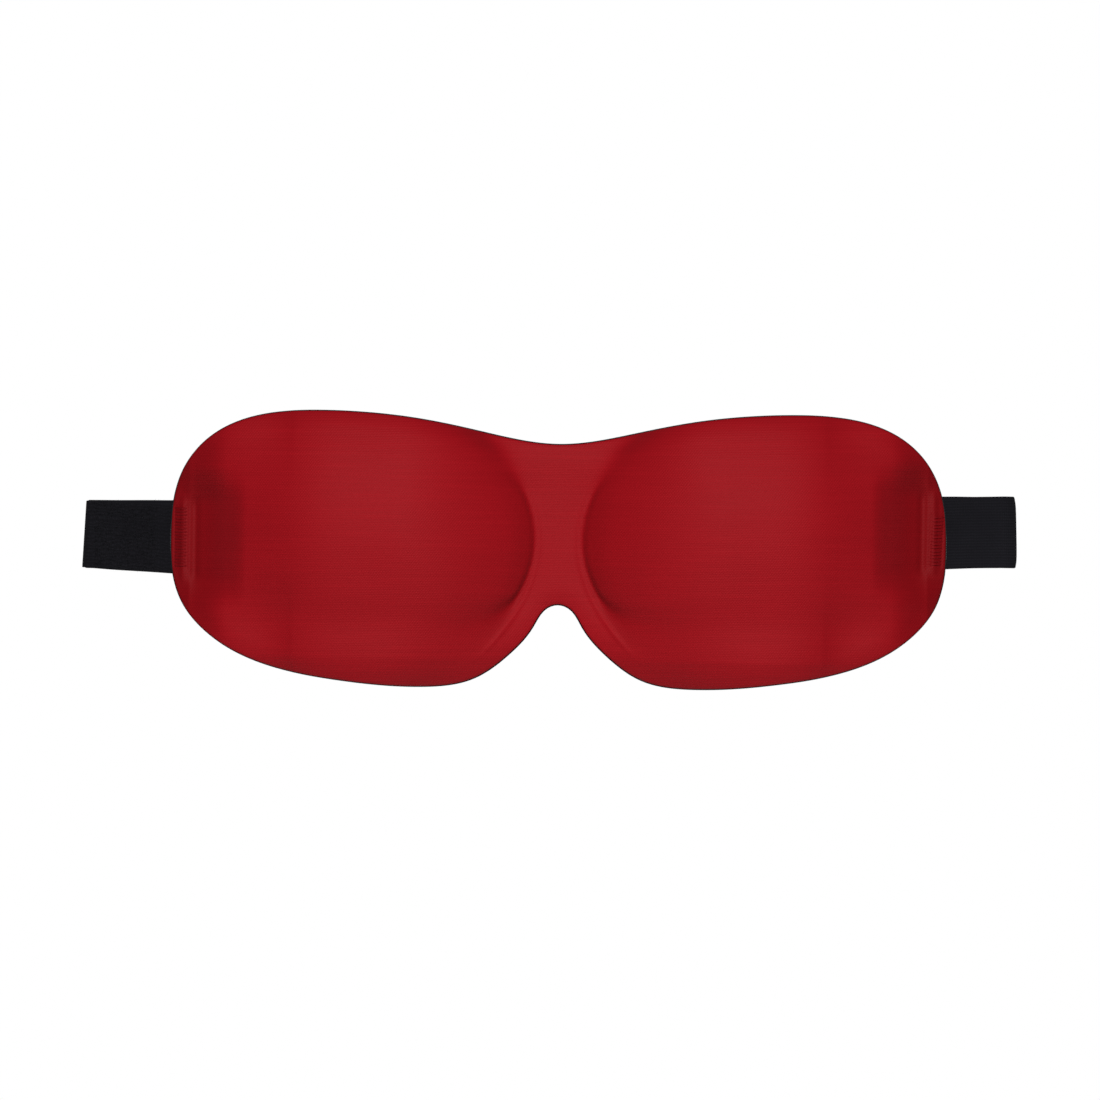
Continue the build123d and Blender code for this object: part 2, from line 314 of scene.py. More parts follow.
def wrap_drop(a):
    """How far the ends fall back, easing in from WRAP_START."""
    slope = WRAP_DROP / (HALF_WIDTH - WRAP_START)
    return slope * WRAP_BEND * np.log1p(np.exp((a - WRAP_START) / WRAP_BEND))


def open_height(x, z):
    """Forward height of the lining's skin side, before the strap pads are pushed back."""
    a = np.abs(x)
    top_x = CUP_TOP_X + CUP_TOP_SHIFT * smooth((-z - 12) / 28)
    u = np.maximum(0.0, top_x - a) / (top_x - cup_inner_edge(z))
    v = np.where(z > CUP_TOP_Z, (z - CUP_TOP_Z) / CUP_REACH_UP, (CUP_TOP_Z - z) / CUP_REACH_DOWN)
    v = v * (1 - smooth((a - FLATTENING_START) / FLATTENING_LENGTH))
    radius = (u**CUP_SQUARENESS + v**CUP_SQUARENESS) ** (1 / CUP_SQUARENESS)
    dome = CUP_DEPTH * dome_share(radius)
    fading = smooth((z - 14) / 14) + 3 * smooth((-z - 13) / 20)
    softness = CREASE_SOFTNESS + CREASE_FADE * fading
    dome = (dome + np.hypot(dome, softness)) / 2
    return dome - wrap_drop(a)


def skin_height(x, z):
    """Forward height of the lining's skin side."""
    pad = pad_mask(x, z)
    return open_height(x, z) * (1 - pad) - PAD_SET_BACK * pad


def front_detail(x, z, depth):
    """Small forms set into the face: bead by the crease, strap welt, groove, needle dents."""
    a = np.abs(x)
    side = np.where(x < 0, -1, 1)
    bead = 0.42 * ridge(a - cup_inner_edge(z), -1.2, 0.9)
    bead = bead * smooth(depth / 5) * (1 - smooth((z - 12) / 12)) * (1 - smooth((-z - 24) / 10))
    inset = HALF_WIDTH - a
    reach = 1 - smooth((np.abs(z - strap_level(x)) - 9.5) / 4.5)
    welt = 0.60 * ridge(inset, 4.0, 1.1) * reach
    groove = -0.80 * ridge(inset, 7.4, 1.3) * reach
    tacks = np.zeros_like(x)
    for s, (centre, bars, lean) in TACKS.items():
        near = (side == s) * (1 - smooth((np.abs(z - centre) - bars / 2) / 1.2))
        low = TACK_SPAN[0] + lean * (z - centre)
        high = TACK_SPAN[1] + lean * (z - centre)
        for column in (low, high):
            tacks -= 0.22 * near * ridge(inset, column, 0.5)
    return bead + welt + groove + tacks


def ripples(x, z, scale, seed, waves=9):
    """Gentle unevenness: a few sine waves in random directions, about one high."""
    rng = np.random.default_rng(seed)
    total = np.zeros_like(x)
    for _ in range(waves):
        angle, phase = rng.random(2) * 2 * math.pi
        k = 2 * math.pi / (scale * (0.7 + 0.8 * rng.random()))
        total += np.sin(k * (x * math.cos(angle) + z * math.sin(angle)) + phase)
    return total / waves**0.5


def crowded(t):
    """Steps from -1 to 1, drawn closer together towards the ends."""
    return EVEN_SHARE * t + (1 - EVEN_SHARE) * np.sin(math.pi / 2 * t)


def stations(half_count, across, offset):
    """Places on the mask: columns across X, each from the lower cut edge to the upper."""
    upper, lower = grown_edge(offset)
    reach = min(upper[-1][0], lower[-1][0]) - 0.03
    xs = reach * crowded(np.linspace(-1, 1, 2 * half_count + 1))
    high = np.interp(np.abs(xs), upper[:, 0], upper[:, 1])
    low = np.interp(np.abs(xs), lower[:, 0], lower[:, 1])
    s = crowded(np.linspace(-1, 1, across + 1))
    z = (high + low)[:, None] / 2 + (high - low)[:, None] / 2 * s[None, :]
    x = np.repeat(xs[:, None], across + 1, axis=1)
    return x, z


def heights(x, z):
    """Forward heights of the laminate's four faces."""
    step = 0.4
    gx = (open_height(x + step, z) - open_height(x - step, z)) / (2 * step)
    gz = (open_height(x, z + step) - open_height(x, z - step)) / (2 * step)
    factor = np.minimum(STEEPEST, np.sqrt(1 + gx**2 + gz**2))
    depth = rim_distance(x, z)
    q = np.clip(depth / RIM_WIDTH, 0, 1)
    open_foam = FOAM_AT_RIM + (FOAM - FOAM_AT_RIM) * (1 - (1 - q) ** 2)
    inset = HALF_WIDTH - np.abs(x)
    along = smooth((PAD_LENGTH + PAD_FOAM_BLEND - inset) / PAD_FOAM_BLEND)
    pad_foam = FOAM_IN_PAD + PAD_FOAM_RISE * np.clip(inset, 0, 6)
    thickness = open_foam + (pad_foam - open_foam) * along
    skin = skin_height(x, z)
    lining = skin + LINING * factor
    foam = lining + thickness * factor
    cover = foam + COVER * factor
    detail = front_detail(x, z, depth) + 0.10 * ripples(x, z, 26, 3) * smooth(depth / 8)
    roll = -0.45 * (1 - np.clip(depth, 0, 1)) ** 2
    return skin, lining, foam - 0.3 + detail + roll, cover + detail + roll


def new_object(name, verts, faces, smooth_faces=True):
    mesh = bpy.data.meshes.new(name)
    mesh.from_pydata([tuple(v) for v in verts], [], faces)
    mesh.validate()
    mesh.update()
    if smooth_faces:
        mesh.polygons.foreach_set("use_smooth", [True] * len(mesh.polygons))
    obj = bpy.data.objects.new(name, mesh)
    bpy.context.scene.collection.objects.link(obj)
    return obj


def add_map(obj, coords):
    """Stores lengths along and across the cloth, in metres, as the piece's UV map."""
    layer = obj.data.uv_layers.new(name="cloth")
    index = np.zeros(len(obj.data.loops), np.int32)
    obj.data.loops.foreach_get("vertex_index", index)
    layer.data.foreach_set("uv", np.asarray(coords, np.float32)[index].ravel())


def ring_sides(first, rings, count):
    """Quads that join rings of count points each, numbered from first."""
    faces = []
    for r in range(rings - 1):
        low = first + r * count
        high = low + count
        for c in range(count):
            d = (c + 1) % count
            faces.append((low + c, low + d, high + d, high + c))
    return faces


def fix_normals(obj):
    """Turns the faces of each closed shell outwards; quads are shaded smooth, end caps flat."""
    bm = bmesh.new()
    bm.from_mesh(obj.data)
    bmesh.ops.recalc_face_normals(bm, faces=bm.faces)
    bm.to_mesh(obj.data)
    bm.free()
    for poly in obj.data.polygons:
        poly.use_smooth = len(poly.vertices) <= 4


def mask_layer(name, lower, upper, steps, offset):
    """Closed sheet between two of the laminate's faces, with its cut edge."""
    x, z = stations(*steps, offset)
    faces_at = heights(x, z)
    back = np.stack([x, -faces_at[lower], z], axis=-1)
    front = np.stack([x, -faces_at[upper], z], axis=-1)
    rows, cols = x.shape
    count = rows * cols
    verts = np.concatenate([front.reshape(-1, 3), back.reshape(-1, 3)]) * MM
    i, j = np.meshgrid(np.arange(rows - 1), np.arange(cols - 1), indexing="ij")
    a = (i * cols + j).ravel()
    quads = np.stack([a, a + cols, a + cols + 1, a + 1], axis=1)
    faces = [tuple(q) for q in quads.tolist()]
    faces += [tuple(v + count for v in q[::-1]) for q in quads.tolist()]
    ring = list(range(cols))
    ring += [r * cols + cols - 1 for r in range(1, rows)]
    ring += [(rows - 1) * cols + c for c in range(cols - 2, -1, -1)]
    ring += [r * cols for r in range(rows - 2, 0, -1)]
    for p, q in zip(ring, ring[1:] + ring[:1]):
        faces.append((p, q, q + count, p + count))
    obj = new_object(name, verts, faces)
    flat = np.stack([x, z], axis=-1).reshape(-1, 2) * MM
    add_map(obj, np.concatenate([flat, flat]))
    # Painted shade amount at each point, kept for the face colour.
    shade_amount = painted_shade(x, z, rim_distance(x, z)).ravel()
    layer = obj.data.attributes.new("painted_shade", "FLOAT", "POINT")
    layer.data.foreach_set("value", np.concatenate([shade_amount, shade_amount]).astype(np.float32))
    return obj


# ---------------------------------------------------------------- materials
# Colours are linear RGB; pitches and bump depths are in metres.
RED_DEEP = (0.268, 0.0020, 0.0058)
RED_LIT = (0.402, 0.0046, 0.0105)
# Painted shade: the knit colour is multiplied by this tint where the shade mask is full.
PAINTED_SHADE_TINT = (0.66, 0.42, 0.50)
RED_DRIFT_LOW = (0.93, 0.90, 0.90)
RED_DRIFT_HIGH = (1.05, 1.08, 1.08)
NEAR_BLACK = (0.006, 0.006, 0.007)
SOFT_BLACK = (0.022, 0.022, 0.025)
FOAM_TONES = ((0.010, 0.006, 0.007), (0.030, 0.018, 0.020))
WEB_TONES = ((0.0040, 0.0038, 0.0056), (0.0105, 0.0100, 0.0135))
RIB_AT_SCALE_ONE = 0.31416
PILE_TONES = ((0.0030, 0.0028, 0.0042), (0.0085, 0.0080, 0.0110))


def material(name):
    mat = bpy.data.materials.new(name)
    mat.use_nodes = True
    nodes = mat.node_tree.nodes
    nodes.clear()
    out = nodes.new("ShaderNodeOutputMaterial")
    shader = nodes.new("ShaderNodeBsdfPrincipled")
    mat.node_tree.links.new(shader.outputs[0], out.inputs[0])
    return mat, nodes, mat.node_tree.links, shader


def math_node(nodes, links, kind, a, b=None):
    node = nodes.new("ShaderNodeMath")
    node.operation = kind
    for socket, value in zip(node.inputs, (a, b)):
        if value is None:
            continue
        if isinstance(value, (int, float)):
            socket.default_value = value
        else:
            links.new(value, socket)
    return node.outputs[0]


def noise(nodes, links, coords, scale, detail=3.0, rough=0.5):
    node = nodes.new("ShaderNodeTexNoise")
    node.inputs["Scale"].default_value = scale
    node.inputs["Detail"].default_value = detail
    node.inputs["Roughness"].default_value = rough
    links.new(coords, node.inputs["Vector"])
    return node.outputs["Fac"]


def mapped(nodes, links, coords, scale=(1, 1, 1), turn=0.0):
    node = nodes.new("ShaderNodeMapping")
    node.inputs["Scale"].default_value = scale
    node.inputs["Rotation"].default_value = (0, 0, turn)
    links.new(coords, node.inputs["Vector"])
    return node.outputs[0]


def wave(nodes, links, coords, pitch, axis="X", distort=0.0):
    """Sine ribs of a given pitch in metres."""
    node = nodes.new("ShaderNodeTexWave")
    node.bands_direction = axis
    node.inputs["Scale"].default_value = RIB_AT_SCALE_ONE / pitch
    node.inputs["Distortion"].default_value = distort
    node.inputs["Detail"].default_value = 1.0
    node.inputs["Detail Scale"].default_value = 1.5
    links.new(coords, node.inputs["Vector"])
    return node.outputs["Fac"]


def mix_colour(nodes, links, factor, a, b, blend="MIX"):
    node = nodes.new("ShaderNodeMix")
    node.data_type = "RGBA"
    node.blend_type = blend
    for socket, value in ((node.inputs[0], factor), (node.inputs[6], a), (node.inputs[7], b)):
        if isinstance(value, (int, float)):
            socket.default_value = value
        elif isinstance(value, tuple):
            socket.default_value = (*value, 1)
        else:
            links.new(value, socket)
    return node.outputs[2]


def bump(nodes, links, shader, height, distance, strength=1.0):
    node = nodes.new("ShaderNodeBump")
    node.inputs["Distance"].default_value = distance
    node.inputs["Strength"].default_value = strength
    links.new(height, node.inputs["Height"])
    links.new(node.outputs[0], shader.inputs["Normal"])


def cloth_coords(nodes):
    node = nodes.new("ShaderNodeUVMap")
    node.uv_map = "cloth"
    return node.outputs[0]


def red_knit():
    """Fine matt knit: close rows of loops on a slant, odd thicker yarns, slow colour drift, and
    painted shade round the sewn ends and cup-wall feet.
    """
    mat, nodes, links, shader = material("red_knit")
    uv = cloth_coords(nodes)
    slant = mapped(nodes, links, uv, turn=math.radians(38))
    rib = wave(nodes, links, slant, 0.00062, "X", 1.6)
    course = wave(nodes, links, uv, 0.00050, "Y", 1.2)
    cell = math_node(nodes, links, "MULTIPLY", rib, course)
    grain = noise(nodes, links, uv, 2600, 4, 0.6)
    slub = noise(nodes, links, mapped(nodes, links, uv, (28, 900, 1)), 1.0, 3, 0.6)
    slub = math_node(nodes, links, "POWER", slub, 3.0)
    drift = noise(nodes, links, uv, 22, 3, 0.55)
    height = math_node(nodes, links, "ADD", cell, math_node(nodes, links, "MULTIPLY", grain, 0.8))
    height = math_node(nodes, links, "ADD", height, math_node(nodes, links, "MULTIPLY", slub, 1.3))
    tone = math_node(nodes, links, "MULTIPLY", height, 0.5)
    colour = mix_colour(nodes, links, tone, RED_DEEP, RED_LIT)
    shade = mix_colour(nodes, links, drift, RED_DRIFT_LOW, RED_DRIFT_HIGH)
    both = mix_colour(nodes, links, 1.0, colour, shade, "MULTIPLY")
    # Painted shade: the colour is darkened by the stored shade amount.
    shade_amount = nodes.new("ShaderNodeAttribute")
    shade_amount.attribute_name = "painted_shade"
    knit_with_shade = mix_colour(nodes, links, shade_amount.outputs["Fac"], both, PAINTED_SHADE_TINT, "MULTIPLY")
    links.new(knit_with_shade, shader.inputs["Base Color"])
    shader.inputs["Roughness"].default_value = 0.62
    shader.inputs["Specular IOR Level"].default_value = 0.12
    shader.inputs["Sheen Weight"].default_value = 0.03
    shader.inputs["Sheen Roughness"].default_value = 0.55
    shader.inputs["Sheen Tint"].default_value = (1.0, 0.35, 0.38, 1)
    bump(nodes, links, shader, height, 0.00009, 0.8)
    return mat


def black_cloth(name, tones, pitch, slack, sheen, depth=0.0001):
    """Dark cloth with a crossing weave, fibre noise and a worn tone."""
    mat, nodes, links, shader = material(name)
    uv = cloth_coords(nodes)
    warp = wave(nodes, links, uv, pitch[0], "Y", slack)
    weft = wave(nodes, links, uv, pitch[1], "X", slack)
    grain = noise(nodes, links, uv, 3000, 4, 0.65)
    cell = math_node(nodes, links, "MULTIPLY", warp, math_node(nodes, links, "ADD", weft, 0.4))
    height = math_node(nodes, links, "ADD", cell, grain)
    wear = noise(nodes, links, uv, 60, 4, 0.6)
    tone = math_node(nodes, links, "MULTIPLY", height, wear)
    links.new(mix_colour(nodes, links, tone, *tones), shader.inputs["Base Color"])
    shader.inputs["Roughness"].default_value = 0.88
    shader.inputs["Specular IOR Level"].default_value = 0.12
    shader.inputs["Sheen Weight"].default_value = sheen
    shader.inputs["Sheen Roughness"].default_value = 0.5
    bump(nodes, links, shader, height, depth, 0.9)
    return mat


def thread_look(name, low, high):
    """Twisted shiny sewing thread; the map runs along the thread in metres."""
    mat, nodes, links, shader = material(name)
    uv = cloth_coords(nodes)
    twist = wave(nodes, links, mapped(nodes, links, uv, turn=math.radians(45)), 0.00028, "X", 0.3)
    fuzz = noise(nodes, links, uv, 4000, 3, 0.6)
    height = math_node(nodes, links, "ADD", twist, math_node(nodes, links, "MULTIPLY", fuzz, 0.5))
    links.new(mix_colour(nodes, links, height, low, high), shader.inputs["Base Color"])
    shader.inputs["Roughness"].default_value = 0.6
    shader.inputs["Specular IOR Level"].default_value = 0.12
    bump(nodes, links, shader, height, 0.00005, 0.8)
    return mat


def hook_plastic():
    """Moulded nylon with a faint haze."""
    mat, nodes, links, shader = material("hook_plastic")
    uv = cloth_coords(nodes)
    haze = noise(nodes, links, uv, 900, 4, 0.6)
    colour = mix_colour(nodes, links, haze, NEAR_BLACK, SOFT_BLACK)
    links.new(colour, shader.inputs["Base Color"])
    rough = math_node(nodes, links, "ADD", math_node(nodes, links, "MULTIPLY", haze, 0.25), 0.3)
    links.new(rough, shader.inputs["Roughness"])
    bump(nodes, links, shader, haze, 0.00004, 0.5)
    return mat


LOOKS = {
    "red": red_knit(),
    "foam": black_cloth("foam_edge", FOAM_TONES, (0.0006, 0.0006), 4.0, 0.0, 0.00012),
    "lining": black_cloth("lining_cloth", (NEAR_BLACK, SOFT_BLACK), (0.0007, 0.0005), 2.5, 0.25),
    "web": black_cloth("elastic_web", WEB_TONES, (0.00085, 0.00048), 0.6, 0.02),
    "pile": black_cloth("brushed_pile", PILE_TONES, (0.0011, 0.0008), 6.0, 0.03, 0.0002),
    "red_thread": thread_look("red_thread", (0.120, 0.002, 0.004), (0.270, 0.004, 0.008)),
    "black_thread": thread_look("black_thread", (0.008, 0.008, 0.010), (0.040, 0.040, 0.046)),
    "hooks": hook_plastic(),
}


def dress(obj, look):
    obj.data.materials.append(LOOKS[look])
    return obj


# ---------------------------------------------------------------- the moulded mask
def make_mask():
    """Face fabric, foam and lining; the lining's cut edge shows a little all round."""
    cover = dress(mask_layer("face_cover", 2, 3, COVER_STEPS, COVER_EDGE), "red")
    foam = dress(mask_layer("foam_body", 1, 2, INNER_STEPS, FOAM_EDGE), "foam")
    lining = dress(mask_layer("back_lining", 0, 1, INNER_STEPS, LINING_EDGE), "lining")
    for obj, node in ((cover, "front_cover"), (foam, "foam_core"), (lining, "inner_lining")):
        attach(obj, "mask")
        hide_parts(node)


# ---------------------------------------------------------------- straps
def strap_z(side, reach):
    """Height of a strap's middle line in front of its fold, at a distance from the bridge."""
    return STRAP_Z[side] + STRAP_RISE[side] * (reach - HALF_WIDTH)


LEFT_FOLD = hinge("left_strap_unfold")
RIGHT_FOLD = hinge("right_strap_unfold")
PEEL = hinge("closure_peel")


def run_z(x):
    """Height of the straps' middle line behind the folds."""
    left = strap_z(-1, -LEFT_FOLD[0])
    right = strap_z(1, RIGHT_FOLD[0])
    return left + (right - left) * (x - LEFT_FOLD[0]) / (RIGHT_FOLD[0] - LEFT_FOLD[0])


def strap_path(side, near_y, fold, run_y, start, tip, step=0.8):
    """Middle line of a strap: (x, y, z, tangent x, tangent y, length so far)."""
    sign = float(side)
    points = []
    for x in np.arange(start, abs(fold[0]), step):
        points.append((sign * x, near_y, strap_z(side, x), sign, 0.0))
    radius = (run_y - near_y) / 2
    for k in range(25):
        angle = math.pi * k / 24
        x = fold[0] + sign * radius * math.sin(angle)
        y = fold[1] - radius * math.cos(angle)
        z = strap_z(side, abs(fold[0]))
        points.append((x, y, z, sign * math.cos(angle), math.sin(angle)))
    pieces = int(abs(tip - fold[0]) / step)
    for k in range(1, pieces + 1):
        x = fold[0] + (tip - fold[0]) * k / pieces
        points.append((x, run_y, run_z(x), -sign, 0.0))
    path = np.array(points)
    gaps = np.linalg.norm(np.diff(path[:, :2], axis=0), axis=1)
    return np.column_stack([path, np.concatenate([[0], np.cumsum(gaps)])])


def section(width, thickness):
    """Webbing's cross-section: thickness across, width up, with soft selvedges."""
    half_t, half_w = thickness / 2, width / 2
    corner = min(SELVEDGE, half_t * 0.9)
    along = np.linspace(-half_w + corner, half_w - corner, 15)
    arc = np.linspace(0, math.pi / 2, 4)

    def selvedge(side, end, angles):
        return [
            (
                side * (half_t - corner * (1 - math.cos(a))),
                end * (half_w - corner + corner * math.sin(a)),
            )
            for a in angles
        ]

    points = [(-half_t, w) for w in along]
    points += selvedge(-1, 1, arc[1:])
    points += selvedge(1, 1, arc[::-1])
    points += [(half_t, w) for w in along[::-1][1:]]
    points += selvedge(1, -1, arc[1:])
    points += selvedge(-1, -1, arc[::-1][:-1])
    return np.array(points)


def webbing(name, path, side, thickness, shift=0.0, narrower=0.0, seed=1):
    """Strap along a path; shift moves it square to the path, away from the fold's inside."""
    width = STRAP_WIDTH[side] - narrower
    fold = LEFT_FOLD if side < 0 else RIGHT_FOLD
    shape = section(width, thickness)
    n = len(shape)
    verts, flat = [], []
    edge = np.random.default_rng(seed)
    phases = edge.random(4) * PHASE_SPAN
    for x, y, z, tx, ty, s in path:
        nx, ny = ty, -tx
        wobble = 0.10 * math.sin(s / 5.3 + phases[0]) + 0.07 * math.sin(s / 2.9 + phases[1])
        other = 0.10 * math.sin(s / 4.6 + phases[2]) + 0.07 * math.sin(s / 3.3 + phases[3])
        for across, up in shape:
            grow = 1 + (wobble if up > 0 else other) / width
            d = across + shift
            px, py, pz = x + nx * d, y + ny * d, z + up * grow
            beyond = abs(px) - abs(fold[0])
            if beyond > 0:
                share = up / (width / 2)
                reach = FOLD_REACH[side] - FOLD_LEAN[side] * share
                reach -= FOLD_ROUNDING[side] * abs(share) ** 6
                px = math.copysign(abs(fold[0]) + beyond * reach, px)
            verts.append((px * MM, py * MM, pz * MM))
            flat.append((s * MM, (up + 0.001 * across) * MM))
    faces = ring_sides(0, len(path), n)
    for ring in (0, len(path) - 1):
        base = len(verts)
        verts += verts[ring * n : ring * n + n]
        flat += flat[ring * n : ring * n + n]
        cap = tuple(base + c for c in range(n))
        faces.append(cap if ring else cap[::-1])
    obj = new_object(name, verts, faces)
    fix_normals(obj)
    add_map(obj, flat)
    return obj


def cut_path(path, test):
    """The stretch of a path where test(row) holds."""
    return np.array([row for row in path if test(row)])


def make_left_strap():
    """Elastic web with a brushed loop face: forwards on the tab, backwards on the folded run."""
    near = sewn_left[0][1] + LEFT_WEB / 2
    run_low, run_high = place("strap_left_run")
    run_y = run_low[1] + LEFT_WEB / 2
    start = HALF_WIDTH - PAD_LENGTH
    path = strap_path(-1, near, LEFT_FOLD, run_y, start, run_high[0])
    split = path[np.argmin(np.abs(path[:60, 0] + SPLIT_X[-1])), 5]
    tab = cut_path(path, lambda row: row[5] <= split + TINY)
    rest = cut_path(path, lambda row: row[5] >= split - TINY)
    outward = (LEFT_WEB + LEFT_PILE) / 2
    made = []
    for part, stretch in (("tab", tab), ("run", rest)):
        body = webbing(f"left_web_{part}", stretch, -1, LEFT_WEB, seed=11)
        fuzz = webbing(f"left_pile_{part}", stretch, -1, LEFT_PILE, -outward, 0.4, 11)
        dress(body, "web")
        dress(fuzz, "pile")
        made.append((part, body, fuzz))
    return made, path


def make_right_strap():
    """Smooth elastic web from the sewn end, round its fold, to the hook end."""
    near = sewn_right[0][1] + RIGHT_WEB / 2
    tip = place("strap_right_tip")[0][0]
    path = strap_path(1, near, RIGHT_FOLD, PEEL[1], HALF_WIDTH - PAD_LENGTH, tip)
    first = path[np.argmin(np.abs(path[:60, 0] - SPLIT_X[1])), 5]
    behind = path[path[:, 3] < 0]
    second = behind[np.argmin(np.abs(behind[:, 0] - RIGHT_SPLIT)), 5]
    parts = {
        "tab": cut_path(path, lambda row: row[5] <= first + TINY),
        "run": cut_path(path, lambda row: first - TINY <= row[5] <= second + TINY),
        "end": cut_path(path, lambda row: row[5] >= second - TINY),
    }
    made = {}
    for part, stretch in parts.items():
        obj = webbing(f"right_web_{part}", stretch, 1, RIGHT_WEB, seed=23)
        made[part] = dress(obj, "web")
    return made


def along_x(piece):
    """Bakes a piece's transform into its mesh."""
    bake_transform(piece)


def along_y(piece):
    """Bakes a piece's transform into its mesh."""
    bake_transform(piece)


def attach_straps():
    """Both straps, with their transforms baked in; returns the left one's middle line."""
    left, left_path = make_left_strap()
    right = make_right_strap()
    for part, body, fuzz in left:
        for piece in (body, fuzz):
            if part == "tab":
                along_x(piece)
            else:
                along_y(piece)
    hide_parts("strap_left_sewn_end", "strap_left_stub")
    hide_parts("loop_pile_sewn_end", "loop_pile_stub")
    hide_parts("strap_left_fold", "strap_left_run")
    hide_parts("loop_pile_fold", "loop_pile_run")

    along_x(right["tab"])
    along_y(right["run"])
    along_x(right["end"])
    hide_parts("strap_right_sewn_end", "strap_right_stub")
    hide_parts("strap_right_fold", "strap_right_run")
    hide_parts("strap_right_tip")
    return left_path


# ---------------------------------------------------------------- threads, fibres and hooks
def tubes(name, lines, radius, sides=6, taper=False):
    """Thin round strands along given lines, all in one mesh; points are in millimetres."""
    verts, faces, flat = [], [], []
    for line in lines:
        line = np.asarray(line, float)
        tangent = np.gradient(line, axis=0)
        tangent /= np.linalg.norm(tangent, axis=1)[:, None] + 1e-12
        helper = np.array([0, 0, 1.0])
        if abs(tangent[0] @ helper) > 0.8:
            helper = np.array([0, 1.0, 0])
        base = len(verts)
        travel = 0.0
        for k, (p, t) in enumerate(zip(line, tangent)):
            u = np.cross(t, helper)
            u /= np.linalg.norm(u) + 1e-12
            v = np.cross(t, u)
            if k:
                travel += np.linalg.norm(p - line[k - 1])
            r = radius * (1 - 0.6 * k / (len(line) - 1)) if taper else radius
            for side in range(sides):
                angle = 2 * math.pi * side / sides
                verts.append((p + r * (u * math.cos(angle) + v * math.sin(angle))) * MM)
                flat.append((travel * MM, radius * angle * MM))
        faces += ring_sides(base, len(line), sides)
        faces.append(tuple(base + side for side in range(sides))[::-1])
        last = base + (len(line) - 1) * sides
        faces.append(tuple(last + side for side in range(sides)))
    obj = new_object(name, verts, faces)
    fix_normals(obj)
    add_map(obj, flat)
    return obj


def make_bartack(side):
    """Dense zigzag bar that holds the strap: arched bars in front, bars behind the strap."""
    centre, count, lean = TACKS[side]
    back_y = PAD_SET_BACK + SEWN_THICKNESS[side] - 0.25
    lines = []
    rng = np.random.default_rng(40 + side)
    for i in range(count):
        z0 = centre + (i - (count - 1) / 2) + 0.12 * (rng.random() - 0.5)
        shift = lean * (z0 - centre)
        x_out = HALF_WIDTH - TACK_SPAN[0] - shift + 0.25 * (rng.random() - 0.5)
        x_in = HALF_WIDTH - TACK_SPAN[1] - shift + 0.35 * (rng.random() - 0.5)
        drop = 0.5 if i < count - 1 else 0.0
        for s0, s1, z_a, z_b, back in ((x_out, x_in, z0, z0, 0), (x_in, x_out, z0, z0 + drop, 1)):
            line = []
            for k in range(13):
                t = k / 12
                x = side * (s0 + (s1 - s0) * t)
                z = z_a + (z_b - z_a) * t
                arch = math.sin(math.pi * t) ** 0.5
                if back:
                    y = back_y + 0.42 * arch
                else:
                    top = heights(np.array([[x]]), np.array([[z]]))[3][0, 0]
                    y = -top + 0.30 - 0.38 * arch
                line.append((x, y, z))
            lines.append(line)
    name = "tack_left" if side < 0 else "tack_right"
    obj = dress(tubes(name, lines, TACK_THREAD), "red_thread")
    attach(obj, "mask")
    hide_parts("bartack_left" if side < 0 else "bartack_right")


def make_hook_patch():
    """Backing strip with rows of small bent hooks facing the loop pile."""
    low, high = place("hook_patch")
    back = place("strap_right_tip")[0][1]
    front = back - HOOK_BACKING
    xs = np.linspace(low[0], high[0], 60)
    verts, flat = [], []
    ring = [(-1, 0), (-0.97, -1), (0.97, -1), (1, 0), (0.97, 1), (-0.97, 1)]
    for x in xs:
        for up, depth in ring:
            y = (front + back) / 2 + depth * (back - front) / 2
            z = run_z(x) + up * HOOK_WIDTH / 2
            verts.append((x * MM, y * MM, z * MM))
            flat.append((x * MM, up * HOOK_WIDTH / 2 * MM))
    n = len(ring)
    faces = ring_sides(0, len(xs), n)
    faces.append(tuple(range(n))[::-1])
    faces.append(tuple((len(xs) - 1) * n + c for c in range(n)))
    strip = new_object("hook_strip", verts, faces, False)
    fix_normals(strip)
    add_map(strip, flat)
    dress(strip, "hooks")
    lines = []
    columns = int((high[0] - low[0] - 5.0) / HOOK_PITCH_X)
    rows = int((HOOK_WIDTH - 4.2) / HOOK_PITCH_Z)
    for i in range(columns):
        x = low[0] + 2.8 + i * HOOK_PITCH_X
        stagger = 0.3 if i % 2 else -0.3
        for j in range(rows):
            z = run_z(x) + (j - (rows - 1) / 2) * HOOK_PITCH_Z + stagger
            way = 1 if j % 2 else -1
            lines.append(
                [
                    (x, front + 0.05, z),
                    (x, front - 0.35, z),
                    (x + 0.10 * way, front - 0.56, z),
                    (x + 0.32 * way, front - 0.60, z),
                    (x + 0.42 * way, front - 0.44, z),
                ]
            )
    hooks = dress(tubes("hook_field", lines, HOOK_WIRE, 5), "hooks")
    for obj in (strip, hooks):
        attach(obj, "right_end")
        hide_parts("hook_patch")


